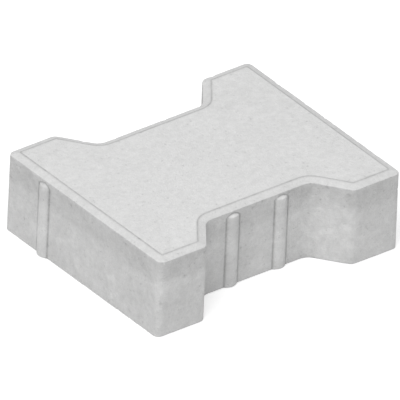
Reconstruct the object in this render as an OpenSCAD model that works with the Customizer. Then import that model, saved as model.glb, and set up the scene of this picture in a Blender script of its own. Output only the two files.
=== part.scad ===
// Interlocking concrete paving stone with an I-shaped plan, pressed as one piece.
// A flat chamfer runs round the top, and upright spacer ribs on the sides keep the joint open.
// Millimetres. The origin is on the underside, below the middle: X is the length, Z is up.

/* [Stone] */
// Length between the two end faces, without their ribs
stone_length = 200; // [160:1:260]
// Width across the heads
head_width = 165; // [145:1:220]
// Width across the waist
waist_width = 115; // [80:1:135]
// Thickness from the bed face to the walking face
thickness = 60; // [40:1:120]

/* [Interlock] */
// Length along the stone that each sloping shoulder takes up
shoulder_run = 18.75; // [8:0.25:30]
// Width of the joint round a laid stone
joint_width = 4; // [3:0.5:6]

/* [Edges] */
// Radius of the four upright edges at the ends
end_radius = 4.5; // [1:0.5:10]
// Radius of the upright edge between a shoulder and its head
shoulder_radius = 6; // [1:0.5:10]
// Width of the chamfer, seen from above
chamfer_width = 6; // [2:0.5:10]
// Drop of the chamfer at the sides
chamfer_drop = 2; // [1:0.5:6]

/* [Spacer ribs] */
// Width of a rib at its root
rib_width = 11; // [8:0.5:16]
// How far a rib stands out from its side
rib_depth = 2.5; // [1:0.25:3]
// Height of the sloping top of a rib
rib_rise = 1.5; // [0.5:0.25:6]
// Bare height between the top of a rib and the chamfer
rib_clearance = 2; // [1:0.5:20]
// Distance between the two ribs on each side of the waist
waist_rib_spacing = 40; // [20:1:60]
// Distance of the rib on each end face from the centre line
end_rib_offset = 42; // [0:1:68]

/* [Hidden] */
$fn = 96;
concrete_grey = [0.76, 0.76, 0.75];
// How far the cutting shapes reach past the surfaces that they cut
margin = 6;

// Shoulders of neighbouring stones are parallel. Their joint is as wide as the one along the
// waist when the two ends of a shoulder lie, added together, this far from the middle.
shoulder_step = (head_width - waist_width) / 2;
shoulder_length = norm([shoulder_run, shoulder_step]);
shoulder_ends = (stone_length + joint_width) / 2
    + joint_width * (shoulder_length - shoulder_run) / shoulder_step;
waist_x = (shoulder_ends - shoulder_run) / 2;
head_x = (shoulder_ends + shoulder_run) / 2;
// The inward corner beside the waist runs round the next stone's edge, one joint away from it
waist_radius = shoulder_radius + joint_width;

// The outline's sharp corners as [x, y, radius], anticlockwise from the +X +Y end corner
corners = concat(
    quarter(1, 1), reversed(quarter(-1, 1)), quarter(-1, -1), reversed(quarter(1, -1)));
corner_count = len(corners);

function quarter(sx, sy) = [
    [sx * stone_length / 2, sy * head_width / 2, end_radius],
    [sx * head_x, sy * head_width / 2, shoulder_radius],
    [sx * waist_x, sy * waist_width / 2, waist_radius]];
function reversed(list) = [for (i = [len(list) - 1 : -1 : 0]) list[i]];

function corner(i) = corners[(i + corner_count) % corner_count];
function point(i) = [corner(i)[0], corner(i)[1]];
function radius(i) = corner(i)[2];
function direction(angle) = [cos(angle), sin(angle)];

// Angle of the side that leaves a corner
function heading(i) = let (side = point(i + 1) - point(i)) atan2(side[1], side[0]);
// Angle that the outline turns by at a corner, positive where the corner points outwards
function turn(i) = let (t = heading(i) - heading(i - 1)) t > 180 ? t - 360 : t < -180 ? t + 360 : t;
// Distance from a sharp corner to the ends of its rounding
function cutback(i) = radius(i) * tan(abs(turn(i)) / 2);
function arc_start(i) = point(i) - cutback(i) * direction(heading(i - 1));
function arc_end(i) = point(i) + cutback(i) * direction(heading(i));
function arc_centre(i) = arc_start(i) + sign(turn(i)) * radius(i) * direction(heading(i - 1) + 90);

// Height of the chamfer at a depth in from the side, carried on past both its edges
function chamfer_z(depth) = thickness - chamfer_drop + depth * chamfer_drop / chamfer_width;
chamfer_end = chamfer_width + margin;

// Radius that gives a rib its width and depth, and the height where it dies into its side
rib_radius = (pow(rib_width / 2, 2) + pow(rib_depth, 2)) / (2 * rib_depth);
rib_top = thickness - chamfer_drop - rib_clearance;
// How far the sloping top of a rib runs on into the stone, and its whole height with that
rib_root = 1;
rib_cap = rib_rise * (rib_depth + rib_root) / rib_depth;

// The I-shaped outline with its corners rounded
module outline() {
    difference() {
        union() {
            polygon([for (i = [0 : corner_count - 1]) each [arc_start(i), arc_end(i)]]);
            corner_discs(1);
        }
        corner_discs(-1);
    }
}

// Rounding discs of the outward corners (way 1) or the inward corners (way -1)
module corner_discs(way) {
    for (i = [0 : corner_count - 1])
        if (sign(turn(i)) == way)
            translate(arc_centre(i)) circle(r = radius(i));
}

// What the chamfer takes off: a wedge along each side, a turned wedge at each outward corner
// and a cone at each inward corner. The wedges run on past the outward corners.
module chamfer_waste() {
    for (i = [0 : corner_count - 1]) {
        from = arc_end(i) - overrun(i) * direction(heading(i));
        to = arc_start(i + 1) + overrun(i + 1) * direction(heading(i));
        translate(from) rotate(heading(i)) side_wedge(norm(to - from));
        translate(arc_centre(i))
            if (turn(i) > 0)
                rotate(heading(i - 1) - 90) outward_wedge(radius(i), turn(i));
            else
                inward_cone(radius(i));
    }
}

function overrun(i) = turn(i) > 0 ? margin : 0;

// Wedge along a straight side on the X axis, with the stone on its +Y side
module side_wedge(length) {
    rotate([90, 0, 90]) linear_extrude(length)
        polygon([
            [-margin, chamfer_z(-margin)],
            [chamfer_end, chamfer_z(chamfer_end)],
            [-margin, chamfer_z(chamfer_end)]]);
}

// Wedge turned about the centre of an outward rounding
module outward_wedge(r, angle) {
    top = chamfer_z(max(r, chamfer_width) + margin);
    rotate_extrude(angle = angle)
        polygon([[0, chamfer_z(r)], [r + margin, chamfer_z(-margin)], [r + margin, top], [0, top]]);
}

// Cone that opens upwards round the centre of an inward rounding
module inward_cone(r) {
    reach = min(r, margin);
    bottom = chamfer_z(-reach);
    translate([0, 0, bottom])
        cylinder(r1 = r - reach, r2 = r + chamfer_end, h = chamfer_z(chamfer_end) - bottom);
}

// Half-round rib on a side along the X axis, standing out towards -Y
module rib() {
    shaft = rib_top - rib_rise;
    translate([0, rib_radius - rib_depth, 0]) {
        cylinder(r = rib_radius, h = shaft);
        translate([0, 0, shaft])
            cylinder(r1 = rib_radius, r2 = rib_radius - rib_depth - rib_root, h = rib_cap);
    }
}

// The ribs are the same when the stone is turned end for end
module spacer_ribs() {
    for (end = [0, 180])
        rotate(end) {
            for (way = [-1, 1])
                translate([way * waist_rib_spacing / 2, -waist_width / 2, 0]) rib();
            translate([-stone_length / 2, end_rib_offset, 0]) rotate(-90) rib();
        }
}

module paving_stone() {
    color(concrete_grey) {
        difference() {
            linear_extrude(thickness) outline();
            chamfer_waste();
        }
        spacer_ribs();
    }
}

paving_stone();
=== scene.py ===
# %% [markdown]
# A pressed concrete paving stone
#
# The stone is one piece: an I-shaped block with a flat chamfer round its walking face and upright
# spacer ribs on its sides. The construction already gives the solid at its true size, so this lesson
# adds what a mould and some years outdoors leave on it: rounded arrises, small crumbled spots, air
# holes, and the fine grain of sand and cement.

# %% Load the construction frame
import math

import bpy
import numpy as np
from mathutils import Matrix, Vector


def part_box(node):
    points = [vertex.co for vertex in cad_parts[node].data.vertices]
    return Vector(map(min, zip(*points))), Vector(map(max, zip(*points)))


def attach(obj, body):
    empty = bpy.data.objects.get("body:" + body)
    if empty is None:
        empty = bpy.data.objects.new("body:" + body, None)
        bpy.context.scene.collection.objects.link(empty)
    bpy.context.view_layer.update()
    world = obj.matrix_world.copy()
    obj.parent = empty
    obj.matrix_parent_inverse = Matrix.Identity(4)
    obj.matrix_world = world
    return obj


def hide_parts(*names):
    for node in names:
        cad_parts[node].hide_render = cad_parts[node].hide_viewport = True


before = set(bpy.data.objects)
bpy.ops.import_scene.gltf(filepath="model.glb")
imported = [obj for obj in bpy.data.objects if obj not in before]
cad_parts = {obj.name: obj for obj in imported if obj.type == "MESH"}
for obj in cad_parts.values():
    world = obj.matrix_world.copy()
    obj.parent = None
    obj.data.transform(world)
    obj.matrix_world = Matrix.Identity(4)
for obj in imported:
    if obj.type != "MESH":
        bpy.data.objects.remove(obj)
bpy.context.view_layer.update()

stone_low, stone_high = (np.array(corner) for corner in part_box("paving_stone"))
print("solid measures", np.round(stone_high - stone_low, 4), "m")

# %% [markdown]
# The plan of the stone
#
# Seen from above the stone is an I: two wide heads, a narrow waist and four sloping shoulders. All four
# quarters are alike, so one quarter is enough to describe it. A boolean or a bevel modifier could make
# the same block, but they give long thin faces that can't carry any relief. Here each stretch of the
# outline is a straight line or an arc with its own count of points, so the same count can be used
# at every height and the whole stone becomes one regular net of small quads.

# %% Sizes of the plan
MM = 0.001
rib_depth = 2.5 * MM
rib_width = 11 * MM
waist_rib_x = 20 * MM
end_rib_y = 42 * MM
half_length = stone_high[0] - rib_depth
half_head = stone_high[1]
half_waist = 57.5 * MM
height = stone_high[2]
shoulder_run = 18.75 * MM
joint_width = 4 * MM
end_radius = 4.5 * MM
shoulder_radius = 6 * MM
waist_radius = shoulder_radius + joint_width
worn_radius = 1.2 * MM
print("the waist is", round(2 * half_waist / MM), "mm wide and the heads", round(2 * half_head / MM), "mm")

# %% Place and slope of the shoulders
# Shoulders of neighbouring stones are parallel. Their joint is as wide as the one along the waist when
# the two ends of a shoulder lie, added together, this far from the middle.
shoulder_step = half_head - half_waist
shoulder_length = math.hypot(shoulder_run, shoulder_step)
slope_gain = (shoulder_length - shoulder_run) / shoulder_step
shoulder_ends = half_length + joint_width / 2 + joint_width * slope_gain
waist_x = (shoulder_ends - shoulder_run) / 2
turn = math.atan2(shoulder_step, shoulder_run)
tan_half_turn = math.tan(turn / 2)
print("shoulders start", round(waist_x / MM, 3), "mm from the middle")
print("they slope at", round(math.degrees(turn), 2), "degrees to the length")


# %% One quarter of the outline
# Into how many steps each stretch is cut, from the middle of the waist to the end face and along it
step_counts = {
    "waist": 12, "rib": 14, "recess": 11, "inward corner": 6, "shoulder": 20, "outward corner": 5,
    "head": 24, "end corner": 6, "end outer": 20, "end middle": 24}


def line(start, end, count):
    """Evenly spaced points from start to end, without start: start + (end - start) t."""
    t = np.arange(1, count + 1)[:, None] / count
    return np.add(start, np.subtract(end, start) * t)


def arc(centre, radius, first, last, count):
    """Points on a circle, without the first: centre + radius (sin a, cos a), a from first to last."""
    a = np.linspace(first, last, count + 1)[1:]
    return np.add(centre, radius * np.stack([np.sin(a), np.cos(a)], axis=1))


def quarter_outline(inset):
    """The outline moved in by inset, from the middle of a long side round to the end face.

    Moving a corner in shifts it along the length by inset tan(turn / 2). Inward roundings grow
    by the inset, and outward ones shrink by it until they reach the worn radius.
    """
    waist, head, end = half_waist - inset, half_head - inset, half_length - inset
    inner = waist_radius + inset
    outer = max(shoulder_radius - inset, worn_radius)
    tip = max(end_radius - inset, worn_radius)
    waist_bend = waist_x + tan_half_turn * (inset - inner)
    head_bend = waist_x + shoulder_run + tan_half_turn * (inset + outer)
    rib_near = (waist_rib_x - rib_width / 2, waist)
    rib_far = (waist_rib_x + rib_width / 2, waist)
    shoulder_top = (head_bend - outer * math.sin(turn), head - outer + outer * math.cos(turn))
    inward = arc((waist_bend, waist + inner), inner, math.pi, math.pi - turn, step_counts["inward corner"])
    return np.concatenate([
        [(0, waist)],
        line((0, waist), rib_near, step_counts["waist"]),
        line(rib_near, rib_far, step_counts["rib"]),
        line(rib_far, (waist_bend, waist), step_counts["recess"]),
        inward,
        line(inward[-1], shoulder_top, step_counts["shoulder"]),
        arc((head_bend, head - outer), outer, -turn, 0, step_counts["outward corner"]),
        line((head_bend, head), (end - tip, head), step_counts["head"]),
        arc((end - tip, head - tip), tip, 0, math.pi / 2, step_counts["end corner"])])


quarter_count = len(quarter_outline(0))
print("a quarter of the outline has", quarter_count, "points")

# %% Places across an end face
# They are shares of its half-width from -1 to 1, and lie closer together at the ribs
flat_end = half_head - end_radius
rib_start = (end_rib_y - rib_width / 2) / flat_end
rib_stop = (end_rib_y + rib_width / 2) / flat_end
half_shares = np.concatenate([
    np.linspace(0, rib_start, step_counts["end middle"] + 1),
    np.linspace(rib_start, rib_stop, step_counts["rib"] + 1)[1:],
    np.linspace(rib_stop, 1, step_counts["end outer"] + 1)[1:]])
end_shares = np.concatenate([-half_shares[::-1], half_shares[1:]])
print("an end face has", len(end_shares), "points across")


# %% The whole outline as a ring, and the net inside it
def long_side(inset):
    """X and half-width of the points along a long side, from the -X end to the +X end."""
    x, y = quarter_outline(inset).T
    return np.concatenate([-x[::-1], x[1:]]), np.concatenate([y[::-1], y[1:]])


def ring(inset):
    """The closed outline, anticlockwise from the front left corner: front, right, back, left."""
    x, half_width = long_side(inset)
    front = np.stack([x, -half_width], axis=1)
    right = np.stack([np.full(len(end_shares), x[-1]), end_shares * half_width[-1]], axis=1)
    return np.concatenate([front[:-1], right[:-1], -front[:-1], -right[:-1]])


def net(inset):
    """A net that fills the outline: (x, v w(x)) with v from -1 to 1 and w the half-width at x."""
    x, half_width = long_side(inset)
    y = end_shares[:, None] * half_width
    return np.stack([np.broadcast_to(x, y.shape), y], axis=2).reshape(-1, 2)


columns = 2 * quarter_count - 1
rows = len(end_shares)
ring_count = len(ring(0))
cells = np.arange(rows * columns).reshape(rows, columns)
net_border = np.concatenate([cells[0, :-1], cells[:-1, -1], cells[-1, :0:-1], cells[:0:-1, 0]])
print("net of", rows, "by", columns, "points, ring of", ring_count)

# %% [markdown]
# The edge profile
#
# From the walking face a flat chamfer falls two millimetres over six, then the side drops straight to the
# bed face. On a real stone none of these bends is a knife edge: the press shoe rounds them a little
# and handling rounds them more. A Bevel modifier could round them, but it would cut through the net.
# So the profile is a chain of straight stretches with a small quadratic curve at each bend, and it
# is carried round the outline ring by ring.

# %% Heights on the side
chamfer_width = 6 * MM
chamfer_drop = 2 * MM
rib_clearance = 2 * MM
rib_rise = 1.5 * MM
rim = height - chamfer_drop
rib_top = rim - rib_clearance
rib_shoulder = rib_top - rib_rise
print("rim at", round(rim / MM, 2), "mm, ribs end at", round(rib_top / MM, 2), "mm")

# %% The profile as rows of inset and height
lip_wear = 0.7 * MM
crest_wear = 0.75 * MM
foot_wear = 0.7 * MM
above_rib = 0.3 * MM
row_counts = {"lip": 3, "chamfer": 5, "crest": 5, "rib": 13, "plain": 32, "foot": 4}


def bend(before, corner, after, wear, count):
    """Quadratic curve (1-t)^2 p + 2 t (1-t) corner + t^2 q, with p and q the wear away from the corner."""
    before, corner, after = (np.array(p, dtype=float) for p in (before, corner, after))
    p = corner + wear * (before - corner) / np.linalg.norm(before - corner)
    q = corner + wear * (after - corner) / np.linalg.norm(after - corner)
    t = np.linspace(0, 1, count + 1)[:, None]
    return (1 - t) ** 2 * p + 2 * t * (1 - t) * corner + t ** 2 * q


def edge_profile():
    """Rows of (inset, height) from the walking face over the chamfer and down to the bed face."""
    lip, crest, foot = (chamfer_width, height), (0, rim), (0, 0)
    lip_bend = bend((2 * chamfer_width, height), lip, crest, lip_wear, row_counts["lip"])
    crest_bend = bend(lip, crest, foot, crest_wear, row_counts["crest"])
    foot_bend = bend(crest, foot, (chamfer_width, 0), foot_wear, row_counts["foot"])
    rib_heights = np.linspace(rib_top + above_rib, rib_shoulder - rib_rise, row_counts["rib"])
    plain_heights = np.linspace(rib_heights[-1], foot_bend[0, 1], row_counts["plain"])[1:-1]
    side_heights = np.concatenate([rib_heights, plain_heights])
    return np.concatenate([
        lip_bend,
        line(lip_bend[-1], crest_bend[0], row_counts["chamfer"])[:-1],
        crest_bend,
        np.stack([np.zeros(len(side_heights)), side_heights], axis=1),
        foot_bend])


profile = edge_profile()
print("edge profile has", len(profile), "rows")

# %% [markdown]
# The spacer ribs
#
# Six half-round ribs keep the joint open: two on each side of the waist and one on each end. They could
# be cylinders joined to the block, but the mould leaves them as part of the same surface, so here
# they are an outward offset of the side. Across a rib the offset is an arc of a circle, and near its
# top the circle shrinks as the height grows, which gives the sloping top with its arched edge. Where
# the same formula is near nothing, the rib meets the side, and the crease there gets painted shade and some
# dust.

# %% How far a rib stands out
rib_radius = (rib_width ** 2 / 4 + rib_depth ** 2) / (2 * rib_depth)
rib_softness = 0.9 * MM


def rib_level(distance, z):
    """How far a rib stands out at a distance from its axis: sqrt(r^2 - distance^2) - (R - depth).

    R is the rib's radius. Above the rib's shoulder r shrinks with the height h, depth / rise times as
    fast, and it starts softly: h stands for (h + sqrt(h^2 + s^2)) / 2. A negative level lies inside.
    """
    above = z - rib_shoulder
    above = (above + np.sqrt(above ** 2 + rib_softness ** 2)) / 2
    radius = rib_radius - above * rib_depth / rib_rise
    return np.sqrt(np.maximum(radius ** 2 - distance ** 2, 0)) - rib_radius + rib_depth


print("a rib is part of a circle of", round(rib_radius / MM, 2), "mm radius")


# %% Rings with their ribs
def ring_levels(x, y, z):
    """The ribs' level at the points of a ring: along Y on the sides of the waist, along X on the ends."""
    on_end = (np.abs(x) > half_length - end_radius) & (np.abs(y) < half_head - end_radius)
    waist = np.where(np.abs(x) < waist_x, rib_level(np.abs(x) - waist_rib_x, z), -rib_depth)
    end = np.where(on_end, rib_level(y * np.sign(x) + end_rib_y, z), -rib_depth)
    return waist, end


def ribbed_ring(inset, z):
    """A ring of the outline at height z as (x, y, z), with the ribs standing out of its flat sides."""
    x, y = ring(inset).T
    waist, end = ring_levels(x, y, z)
    out_x = np.maximum(end, 0) * np.sign(x)
    out_y = np.maximum(waist, 0) * np.sign(y)
    return np.stack([x + out_x, y + out_y, np.full(len(x), z)], axis=1)


rings = [ribbed_ring(inset, z) for inset, z in profile]
print(len(rings), "rings of", ring_count, "points")

# %% [markdown]
# Joining the nets
#
# The walking face and the bed face are two copies of the net, and the profile's rows are rings between
# them. They could be made apart and merged by distance. Here the first and last ring are the borders
# of the two nets, so nothing has to be merged and the surface is closed from the start.

# %% Points of the plain stone
top_net = np.column_stack([net(profile[0, 0]), np.full(rows * columns, height)])
bed_net = np.column_stack([net(profile[-1, 0]), np.zeros(rows * columns)])
top_net[net_border] = rings[0]
bed_net[net_border] = rings[-1]
middle_rings = np.concatenate(rings[1:-1])
points = np.concatenate([top_net, middle_rings, bed_net])
first_ring = len(top_net)
first_bed = first_ring + len(middle_rings)
print(len(points), "points")


# %% Faces of the plain stone
def walls(upper, lower):
    """Quads between two rings of point numbers, facing outwards."""
    return np.stack([upper, lower, np.roll(lower, -1), np.roll(upper, -1)], axis=1)


ring_numbers = [net_border]
ring_numbers += list(np.arange(first_ring, first_bed).reshape(-1, ring_count))
ring_numbers += [net_border + first_bed]
net_corners = [cells[:-1, :-1], cells[:-1, 1:], cells[1:, 1:], cells[1:, :-1]]
squares = np.stack(net_corners, axis=2).reshape(-1, 4)
faces = np.concatenate(
    [squares]
    + [walls(upper, lower) for upper, lower in zip(ring_numbers[:-1], ring_numbers[1:])]
    + [squares[:, ::-1] + first_bed])
print(len(faces), "quads,", 2 * len(faces), "triangles")


# %% [markdown]
# Which part of the stone a point belongs to
#
# The finish differs between the walking face, the chamfer, the sides and the bed face. It also differs
# on the ribs' crowns, which rub against the next stone, on their sloping tops, which get a painted
# highlight where they face upwards, in the creases beside them, on the upright edges and in the upright
# inward corners. The ribs on the ends get less of this painted highlight. Such places could be painted by
# hand. Here each point gets a weight for each of them, and the material reads the weights as
# attributes, which follow the surface exactly.

# %% Weights for chamfer, sides and bed
def over_points(ring_values):
    """Values on every ring, or one for each ring, spread over the points; 0 inside both nets."""
    values = np.zeros(len(points))
    for numbers, row in zip(ring_numbers, ring_values):
        values[numbers] = row
    return values


inset_down, height_down = profile.T
profile_step = np.linalg.norm(np.diff(profile, axis=0), axis=1)
profile_run = np.concatenate([[0], np.cumsum(profile_step)])
chamfer_weight = over_points((profile_run > profile_run[1]) & (height_down > rim))
side_weight = over_points((height_down <= rim) & (profile_run < profile_run[-1]))
bed_weight = np.zeros(len(points))
bed_weight[first_bed:] = 1
top_weight = 1 - chamfer_weight - side_weight - bed_weight
print("points on the chamfer:", int(chamfer_weight.sum()), "and on the sides:", int(side_weight.sum()))

# %% Weights for the three bends of the profile
crest_width = 1.1 * MM
foot_width = 1.5 * MM
lip_width = 0.6 * MM


def bell(distance, width):
    """1 at no distance, falling to both sides: exp(-(distance / width)^2)."""
    return np.exp(-(distance / width) ** 2)


crest_run = np.interp(-rim, -height_down, profile_run)
lip_run = np.interp(-chamfer_width, -inset_down, profile_run)
crest_weight = over_points(bell(profile_run - crest_run, crest_width))
lip_weight = over_points(bell(profile_run - lip_run, lip_width))
foot_weight = over_points(bell(height_down, foot_width)) * side_weight
print("the lip and the crest are", round((crest_run - lip_run) / MM, 2), "mm apart")

# %% Weights for ribs and creases
# Darker creases beside the ribs and a darker line along the chamfer's lip: painted shade, with some dust in
# the creases.
crease_width = 0.7 * MM
crease_shift = 0.3 * MM
lip_shade = 0.9

levels = np.array([np.maximum(*ring_levels(*ring(inset).T, z)) for inset, z in profile])
rib_weight = over_points(np.clip(levels / rib_depth, 0, 1)) * side_weight
crease_weight = over_points(bell(levels + crease_shift, crease_width)) * side_weight
dust_and_shade_weight = np.maximum(crease_weight, lip_shade * lip_weight)
print("points on the ribs:", int((rib_weight > 0).sum()))


# %% Weights for the painted highlight on the ribs' sloping tops
highlight_slope = (0.25, 0.8)
end_highlight_share = 0.3


def point_normals(places):
    """Sum of the normals of the faces round each point, each the cross product of its diagonals."""
    corners = places[faces]
    normal = np.cross(corners[:, 2] - corners[:, 0], corners[:, 3] - corners[:, 1])
    total = np.zeros_like(places)
    for k in range(4):
        np.add.at(total, faces[:, k], normal)
    return total / np.linalg.norm(total, axis=1, keepdims=True)


def smooth_step(value, low, high):
    """0 below low, 1 above high and 3t^2 - 2t^3 between."""
    t = np.clip((value - low) / (high - low), 0, 1)
    return t * t * (3 - 2 * t)


normals = point_normals(points)
# Upward-facing points of the sides get a painted highlight, with less of it on the end faces.
highlight_share = np.where(np.abs(points[:, 0]) < half_length - end_radius, 1, end_highlight_share)
rib_top_highlight_weight = smooth_step(normals[:, 2], *highlight_slope) * side_weight * highlight_share
print("points that rain washes:", int((rib_top_highlight_weight > 0).sum()))

# %% Weights for upright corners
corner_reach = 3


def outline_turn():
    """Angle by which the outline turns near each ring point, from its sides as complex numbers.

    Positive on outward corners. It adds up the turns of the points up to corner_reach away.
    """
    x, y = ring(0).T
    corner = x + 1j * y
    side = np.roll(corner, -1) - corner
    turns = np.angle(side / np.roll(side, 1))
    return sum(np.roll(turns, k) for k in range(-corner_reach, corner_reach + 1))


corner_weight = over_points(np.broadcast_to(outline_turn(), levels.shape)) * side_weight
print("sharpest corner turns by", round(math.degrees(corner_weight.max())), "degrees")

# %% [markdown]
# Relief
#
# A pressed stone is never quite flat. Its faces rise and fall by a tenth of a millimetre, the sides are
# dragged a little as it leaves the mould, air leaves small holes, and the arrises crumble here and
# there. A Displace modifier could do this with one texture, but each of these marks has its own place.
# So their depths are added up as arrays. All of them take material away: every offset goes inwards,
# and the stone stays within its solid. The noise always starts from the same seeds.

# %% Waves, drag lines and grit
drag_stretch = np.array([1, 1, 0.16])


def lattice_noise(places, cell, seed):
    """Random numbers on a lattice, blended between its corners with 3t^2 - 2t^3; from -1 to 1."""
    scaled = places / cell
    base = np.floor(scaled).astype(np.int64)
    part = scaled - base
    part = part * part * (3 - 2 * part)
    table = np.random.default_rng(seed).uniform(-1, 1, 8192)
    primes = np.array([73856093, 19349663, 83492791])
    total = np.zeros(len(places))
    for corner in np.ndindex(2, 2, 2):
        weight = np.where(corner, part, 1 - part).prod(axis=1)
        total += weight * table[((base + corner) @ primes) % len(table)]
    return total


def hollows(places, cell, seed):
    """The same noise from 0 to 1."""
    return 0.5 + 0.5 * lattice_noise(places, cell, seed)


swell = hollows(points, 14 * MM, seed=1)
drag = hollows(points * drag_stretch, 2.6 * MM, seed=2)
grit = hollows(points, 2.4 * MM, seed=3)
print("mean swell", round(swell.mean(), 3), "drag", round(drag.mean(), 3), "grit", round(grit.mean(), 3))

# %% Crumbled edges
foot_crumble = 0.5
fine_share = 0.5
crumble_range = (0.2, 1.0)

coarse_crumble = lattice_noise(points, 5 * MM, seed=4)
fine_crumble = lattice_noise(points, 2.2 * MM, seed=5)
crumbled_edge = np.maximum(crest_weight, foot_crumble * foot_weight)
crumbled = smooth_step(coarse_crumble + fine_share * fine_crumble, *crumble_range) * crumbled_edge
print("points that crumbled:", int((crumbled > 0.1).sum()))


# %% Air holes
stray_chance = 0.001
side_holes = {"count": 60, "smallest": 1.0 * MM, "largest": 2.0 * MM, "seed": 6}
top_holes = {"count": 24, "smallest": 0.8 * MM, "largest": 1.4 * MM, "seed": 7}


def air_holes(places, chance, count, smallest, largest, seed):
    """Depth of round holes at random points: (1 - (d / radius)^2)^2 times a third of the radius."""
    rng = np.random.default_rng(seed)
    chosen = rng.choice(len(places), count, replace=False, p=chance / chance.sum())
    depth = np.zeros(len(places))
    for centre, radius in zip(places[chosen], rng.uniform(smallest, largest, count)):
        spread = ((places - centre) ** 2).sum(axis=1) / radius ** 2
        depth = np.maximum(depth, np.maximum(1 - spread, 0) ** 2 * radius / 3)
    return depth


holes = air_holes(points, side_weight + stray_chance, **side_holes)
holes += air_holes(points, top_weight + stray_chance, **top_holes)
print("deepest hole", round(holes.max() / MM, 2), "mm")

# %% Take the relief off the surface
swell_depth = 0.08 * MM
grit_depth = 0.05 * MM
drag_depth = 0.10 * MM
bed_depth = 0.35 * MM
crumble_depth = 0.45 * MM

relief = swell_depth * swell + grit_depth * grit
relief += drag_depth * drag * side_weight + bed_depth * grit * bed_weight
relief += holes + crumble_depth * crumbled
relief_points = points - relief[:, None] * normals
print("deepest relief", round(relief.max() / MM, 2), "mm, mean", round(relief.mean() / MM, 3), "mm")

# %% The finished mesh
sharp_angle = math.radians(38)
full_hole = 0.5 * MM
finish_weights = {
    "chamfer": chamfer_weight, "side": side_weight, "bed": bed_weight, "rib": rib_weight,
    "crease": dust_and_shade_weight, "corner": corner_weight, "rib_top_highlight": rib_top_highlight_weight,
    "hole": np.clip(holes / full_hole, 0, 1), "crumbled": crumbled}


def stone_object(name, places, weights):
    """A mesh object from the points and the faces, with the weights as point attributes."""
    mesh = bpy.data.meshes.new(name)
    mesh.from_pydata(places.tolist(), [], faces.tolist())
    for label, values in weights.items():
        attribute = mesh.attributes.new(label, "FLOAT", "POINT")
        attribute.data.foreach_set("value", values.astype(np.float32))
    mesh.polygons.foreach_set("use_smooth", np.ones(len(faces), dtype=bool))
    mesh.set_sharp_from_angle(angle=sharp_angle)
    mesh.update()
    made = bpy.data.objects.new(name, mesh)
    bpy.context.scene.collection.objects.link(made)
    return made


stone = stone_object("stone_surface", relief_points, finish_weights)
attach(stone, "root")
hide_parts("paving_stone")
print("stone surface spans", [round(v, 4) for v in stone.dimensions])

# %% [markdown]
# Writing shader maths
#
# Node trees are hard to read as lists of links. The small class below wraps a socket, so that shade and
# bump can be written as sums and products. Any node that isn't plain arithmetic comes from its one
# method, which takes the node's type, its settings and its inputs.

# %% A socket that can be calculated with
class Wire:
    """An output socket. Arithmetic on it adds Math nodes to the tree that it belongs to."""

    def __init__(self, tree, socket=None):
        self.tree = tree
        self.socket = socket

    def node(self, kind, settings=None, inputs=None, out=0):
        """Adds a node: settings first, a ramp's stops among them, then values or links of its inputs."""
        made = self.tree.nodes.new(kind)
        settings = dict(settings or {})
        for place, (position, colour) in enumerate(settings.pop("stops", [])):
            stops = made.color_ramp.elements
            stop = stops[place] if place < 2 else stops.new(position)
            stop.position, stop.color = position, colour
        for key, value in settings.items():
            setattr(made, key, value)
        for key, value in (inputs or {}).items():
            if isinstance(value, Wire):
                self.tree.links.new(value.socket, made.inputs[key])
            else:
                made.inputs[key].default_value = value
        return Wire(self.tree, made.outputs[out] if len(made.outputs) else None)

    def math(self, operation, first, second):
        """Adds a Math node with two values."""
        return self.node("ShaderNodeMath", {"operation": operation}, {0: first, 1: second})

    def __add__(self, other):
        return self.math("ADD", self, other)

    def __sub__(self, other):
        return self.math("SUBTRACT", self, other)

    def __rsub__(self, other):
        return self.math("SUBTRACT", other, self)

    def __mul__(self, other):
        return self.math("MULTIPLY", self, other)

    __radd__ = __add__
    __rmul__ = __mul__

    def between(self, low, high):
        """0 where the value is below low, 1 above high, smooth between; low may be the larger."""
        inputs = {"Value": self, "From Min": low, "From Max": high}
        return self.node("ShaderNodeMapRange", {"interpolation_type": "SMOOTHSTEP"}, inputs)


def new_material(name):
    """A material with an empty tree, and a wire to build it from."""
    material = bpy.data.materials.new(name)
    material.use_nodes = True
    material.node_tree.nodes.clear()
    return material, Wire(material.node_tree)


concrete, wire = new_material("pressed_concrete")
print("shader maths ready for", concrete.name)

# %% [markdown]
# Pressed concrete: sand and cement
#
# Close up the surface is sand in grey cement: grains of about a millimetre, each with its own shade,
# small dark pores and a few paler grains. From further away it is a soft, mottled grey. A noise alone
# would look like cloth, so cell patterns give the single grains their edges, and the same small
# cells raise the bump. Plain cells would make every pore a round dot, so a fine noise first pushes
# their places about. In the material all lengths are in millimetres, and a noise or a shade runs
# from -0.5 to 0.5.

# %% Place in millimetres, and the kinds of pattern
on_stone = wire.node("ShaderNodeTexCoord", out=3)
place = wire.node("ShaderNodeVectorMath", {"operation": "SCALE"}, {0: on_stone, "Scale": 1 / MM})


def noise(size, detail, rough=0.5, at=place):
    """Soft patches of about the size, with finer ones in them."""
    inputs = {"Vector": at, "Scale": 1 / size, "Detail": detail, "Roughness": rough}
    return wire.node("ShaderNodeTexNoise", {}, inputs) - 0.5


def from_middle(size, at=place):
    """Distance to the middle of the nearest cell of about the size, as a share of that size."""
    return wire.node("ShaderNodeTexVoronoi", {"feature": "F1"}, {"Vector": at, "Scale": 1 / size})


def cell_shade(size):
    """A shade for each cell of about the size: its random colour, which the subtraction turns grey."""
    inputs = {"Vector": place, "Scale": 1 / size}
    return wire.node("ShaderNodeTexVoronoi", {"feature": "F1"}, inputs, out=1) - 0.5


def stretched(upright):
    """The place with its height times a number: below 1 draws a pattern out, above 1 flattens it."""
    inputs = {0: place, 1: (1, 1, upright)}
    return wire.node("ShaderNodeVectorMath", {"operation": "MULTIPLY"}, inputs)


print("place in millimetres takes", len(concrete.node_tree.nodes), "nodes")

# %% Grains, pores and mottle
push_size = 1.4
push_reach = 1.8
grain_size = 0.7

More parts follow.
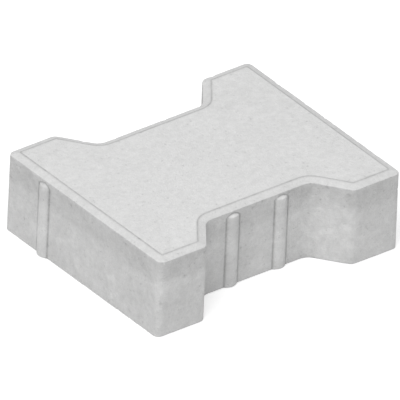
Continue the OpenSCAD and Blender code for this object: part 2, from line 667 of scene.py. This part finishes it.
push = wire.node("ShaderNodeTexNoise", {}, {"Vector": place, "Scale": 1 / push_size, "Detail": 2}, out=1)
pushed = wire.node("ShaderNodeVectorMath", {"operation": "MULTIPLY_ADD"}, {
    0: push, 1: (push_reach, push_reach, push_reach), 2: place})
fine_sand = cell_shade(grain_size)
from_grain = from_middle(grain_size)
sand = cell_shade(1.2)
grain = noise(1.3, detail=3, rough=0.7)
soft_grain = noise(1.8, detail=1)
flake = noise(3.4, detail=2)
mottle = noise(6, detail=3, rough=0.6)
cloud = noise(34, detail=2)
pore = (from_middle(4.5, pushed) + 0.3 * flake).between(0.17, 0.06)
pale_grain = from_middle(3.1, pushed).between(0.2, 0.1)
print("sand and cement take", len(concrete.node_tree.nodes), "nodes")

# %% [markdown]
# Pressed concrete: stains, wear and painted light
#
# The walking face is the most even, and the chamfer is a little greyer. The sides slid along the
# mould, so they are blotchy, streaked and scuffed. They are also painted darker all over, as shade,
# with a darker band of painted shade below the rim, and the shoulder turned to the lamp has a pale
# patch that is partly lime bloom and partly painted light. The ribs' crowns are rubbed pale, the ribs'
# sloping tops carry a painted highlight, and the upright outward edges a slight one. Painted shade lies
# in the creases beside the ribs, with some dust, in the inward corners and along the lip of the
# chamfer. Each of these could be a layer with a mask of its own. Concrete has one pigment, so here
# they all add to or take from one brightness, and the number beside each of them is how much it does so.

# %% Stains of the sides, with painted shade and painted light
# A pale patch on the shoulder turned to the lamp: partly lime bloom, partly painted light.
bloom_and_light_place = (50, -67, 28)
bloom_and_light_reach = (34, 14)
# A band below the rim is painted shade: it starts at the first height above the bed and is full from the
# second.
rim_shade_height = (36, 46)
rim_shade_sway = 9

blotch = noise(17, detail=4, rough=0.6)
streak = noise(5, detail=3, rough=0.6, at=stretched(0.25))
scuff = noise(9, detail=4, rough=0.65, at=stretched(2.5)).between(0.1, 0.24)
lime = noise(26, detail=5, rough=0.65).between(0.03, 0.2)
up = wire.node("ShaderNodeSeparateXYZ", {}, {0: place}, out=2)
rim_shade = (up + rim_shade_sway * blotch).between(*rim_shade_height)
to_bloom_and_light = wire.node("ShaderNodeVectorMath", {"operation": "DISTANCE"}, {0: place, 1: bloom_and_light_place}, out=1)
bloom_and_light = to_bloom_and_light.between(*bloom_and_light_reach)
print("damp begins", rim_shade_height[0], "mm above the bed and is full at", rim_shade_height[1], "mm")


# %% Brightness from all of them
def weight(label):
    """One of the mesh's point weights."""
    return wire.node("ShaderNodeAttribute", {"attribute_name": label}, out=2)


walking_face_grey = 0.705
side = weight("side")
corner = weight("corner")
# Inward corners are painted with shade.
inward_corner_shade = corner.math("MINIMUM", corner, 0)

grey = walking_face_grey + 0.06 * cloud + 0.11 * mottle + 0.11 * flake
grey = grey + 0.04 * grain + 0.03 * sand + 0.05 * fine_sand - 0.08 * pore + 0.03 * pale_grain
grey = grey - 0.035 * weight("chamfer") + weight("bed") * (0.12 * blotch - 0.08)
grey = grey + side * (0.13 * blotch + 0.04 * streak + 0.06 * lime - 0.05 * scuff)
# Painted shade: the sides are darker all over and darker again in the band below the rim. The pale patch on
# the shoulder turned to the lamp is partly lime bloom, partly painted light.
grey = grey - side * (0.066 * rim_shade + 0.105) + side * bloom_and_light * (0.045 + 0.12 * mottle)
# The ribs' crowns are rubbed pale, their sloping tops carry a painted highlight, and the creases beside
# them and the chamfer's lip carry painted shade, with some dust in the creases.
grey = grey + 0.04 * weight("rib") + 0.15 * weight("rib_top_highlight") - weight("crease") * (0.25 + 0.45 * mottle)
# A slight painted highlight on the upright outward edges, and painted shade in the upright inward corners.
grey = grey + 0.005 * corner + 0.025 * inward_corner_shade
grey = grey - 0.08 * weight("hole") + 0.02 * weight("crumbled")
print("with stains and wear", len(concrete.node_tree.nodes), "nodes")

# %% [markdown]
# Pressed concrete: the shader
#
# The concrete is matt, and a little rougher on some grains than on others. A ramp turns the brightness
# into a nearly neutral grey. The sand is too fine for the mesh, so it is a bump: each small cell is a
# low dome, pores are pits, and the sides have the lines along which they slid out of the mould.

# %% Colour, bump and surface
paste_white = (1, 1, 0.997, 1)
bump_height = 0.5 * MM

colour = wire.node("ShaderNodeValToRGB", {"stops": [(0, (0, 0, 0, 1)), (1, paste_white)]}, {0: grey})
bumps = 0.9 * soft_grain + 0.6 * side * streak - 0.5 * pore - 0.7 * from_grain
normal = wire.node("ShaderNodeBump", {}, {"Height": bumps, "Strength": 0.55, "Distance": bump_height})
surface = wire.node("ShaderNodeBsdfPrincipled", {}, {
    "Base Color": colour, "Roughness": 0.9 + 0.1 * grain, "Normal": normal, "Specular IOR Level": 0.25})
wire.node("ShaderNodeOutputMaterial", {}, {"Surface": surface})
stone.data.materials.append(concrete)
print("the whole concrete has", len(concrete.node_tree.nodes), "nodes")

# %% [markdown]
# Floor and light
#
# The stone lies on a plain white floor under an even studio light. A floor in the picture's own white would
# need so much light that the stone would wash out, so the floor is a pale grey that glows a little,
# but only for the rays that the viewer sees. It still takes the stone's shadow. The light comes
# mostly from all round. One broad lamp stands high on the -X side and a little to the front, so that
# the end face and the shoulder turned to it are paler than the front and the shoulder turned away.

# %% The floor's material
floor_grey = 0.8
floor_glow = 0.4


def seen_ray(wire):
    """1 for the rays that show the background: camera, mirror-like and see-through rays."""
    camera_ray = wire.node("ShaderNodeLightPath", out=0)
    glossy_ray = wire.node("ShaderNodeLightPath", out=3)
    through_ray = wire.node("ShaderNodeLightPath", out=6)
    return wire.math("MAXIMUM", camera_ray, wire.math("MAXIMUM", glossy_ray, through_ray))


def white_floor():
    """Pale matt floor: its own light, seen directly or in a reflection, lifts it to white."""
    material, wire = new_material("white_floor")
    stops = [(0, (0, 0, 0, 1)), (1, (floor_glow, floor_glow, floor_glow, 1))]
    glow = wire.node("ShaderNodeValToRGB", {"stops": stops}, {0: seen_ray(wire)})
    surface = wire.node("ShaderNodeBsdfPrincipled", {}, {
        "Base Color": (floor_grey, floor_grey, floor_grey, 1), "Roughness": 1.0,
        "Specular IOR Level": 0.0, "Emission Color": glow, "Emission Strength": 1.0})
    wire.node("ShaderNodeOutputMaterial", {}, {"Surface": surface})
    return material


print("the floor reflects", floor_grey, "of the light")

# %% The floor
floor_reach = 15.0
floor_corners = [(x * floor_reach, y * floor_reach, 0) for x, y in ((-1, -1), (1, -1), (1, 1), (-1, 1))]
floor_mesh = bpy.data.meshes.new("floor")
floor_mesh.from_pydata(floor_corners, [], [(0, 1, 2, 3)])
floor_mesh.materials.append(white_floor())
floor = bpy.data.objects.new("floor", floor_mesh)
bpy.context.scene.collection.objects.link(floor)
print("floor is", 2 * floor_reach, "m wide")


# %% Light from all round
world_strength = 0.61


def studio_world(strength):
    """Even white light of the given strength; the rays that show the background see plain white."""
    world = bpy.data.worlds.new("studio")
    world.use_nodes = True
    world.node_tree.nodes.clear()
    wire = Wire(world.node_tree)
    light = wire.node("ShaderNodeBackground", {}, {"Color": (1, 1, 1, 1), "Strength": strength})
    white = wire.node("ShaderNodeBackground", {}, {"Color": (1, 1, 1, 1), "Strength": 1.0})
    both = wire.node("ShaderNodeMixShader", {}, {0: seen_ray(wire), 1: light, 2: white})
    wire.node("ShaderNodeOutputWorld", {}, {"Surface": both})
    return world


bpy.context.scene.world = studio_world(world_strength)
print("world light of strength", world_strength)

# %% The lamp
lamp_place = (-1.56, -0.96, 2.76)
lamp_aim = (0, 0, 0.03)
lamp_size = 2.4
lamp_power = 60


def place_axes(made, x, y, z, origin):
    """Sets an object's matrix from its three axes and its place."""
    matrix = np.eye(4)
    matrix[:3, :3] = np.stack([x, y, z], axis=1)
    matrix[:3, 3] = origin
    made.matrix_world = Matrix(matrix.tolist())


def softbox(name, origin, aim, size, power):
    """A square area lamp at a place, turned towards a point."""
    lamp = bpy.data.lights.new(name, "AREA")
    lamp.size, lamp.energy = size, power
    made = bpy.data.objects.new(name, lamp)
    bpy.context.scene.collection.objects.link(made)
    away = np.subtract(origin, aim)
    z = away / np.linalg.norm(away)
    x = np.cross((0, 1, 0), z)
    x = x / np.linalg.norm(x)
    place_axes(made, x, np.cross(z, x), z, origin)
    made.visible_camera = False


softbox("overhead", lamp_place, lamp_aim, lamp_size, lamp_power)
print("lamp hangs", round(math.dist(lamp_place, lamp_aim), 2), "m away")

# %% [markdown]
# The camera
#
# The picture is drawn in parallel projection, with lines of one direction staying parallel. A camera with
# a long lens would come close, but an orthographic camera gives it exactly. Its angles and scale
# were fitted to the edges of the stone.

# %% Directions of the picture
azimuth = math.radians(-38.85)
elevation = math.radians(32.15)
roll = math.radians(2.5)

level = np.array([math.cos(azimuth), math.sin(azimuth), 0])
back = np.array([
    math.sin(azimuth) * math.cos(elevation), -math.cos(azimuth) * math.cos(elevation), math.sin(elevation)])
above = np.cross(back, level)
across = math.cos(roll) * level + math.sin(roll) * above
upwards = math.cos(roll) * above - math.sin(roll) * level
print("the picture looks along", np.round(-back, 3))

# %% Camera at the drawing's angle
picture_width = 0.26259
picture_aim = np.array([0, 0, 0.04])
picture_shift = np.array([-0.00224, -0.00903])

camera_data = bpy.data.cameras.new("camera")
camera_data.type = "ORTHO"
camera_data.ortho_scale = picture_width
camera = bpy.data.objects.new("camera", camera_data)
bpy.context.scene.collection.objects.link(camera)
middle = picture_aim + picture_shift[0] * across + picture_shift[1] * upwards
place_axes(camera, across, upwards, back, middle + back)
bpy.context.scene.camera = camera
bpy.context.scene.view_settings.view_transform = "Standard"
print("camera frames", picture_width, "m")
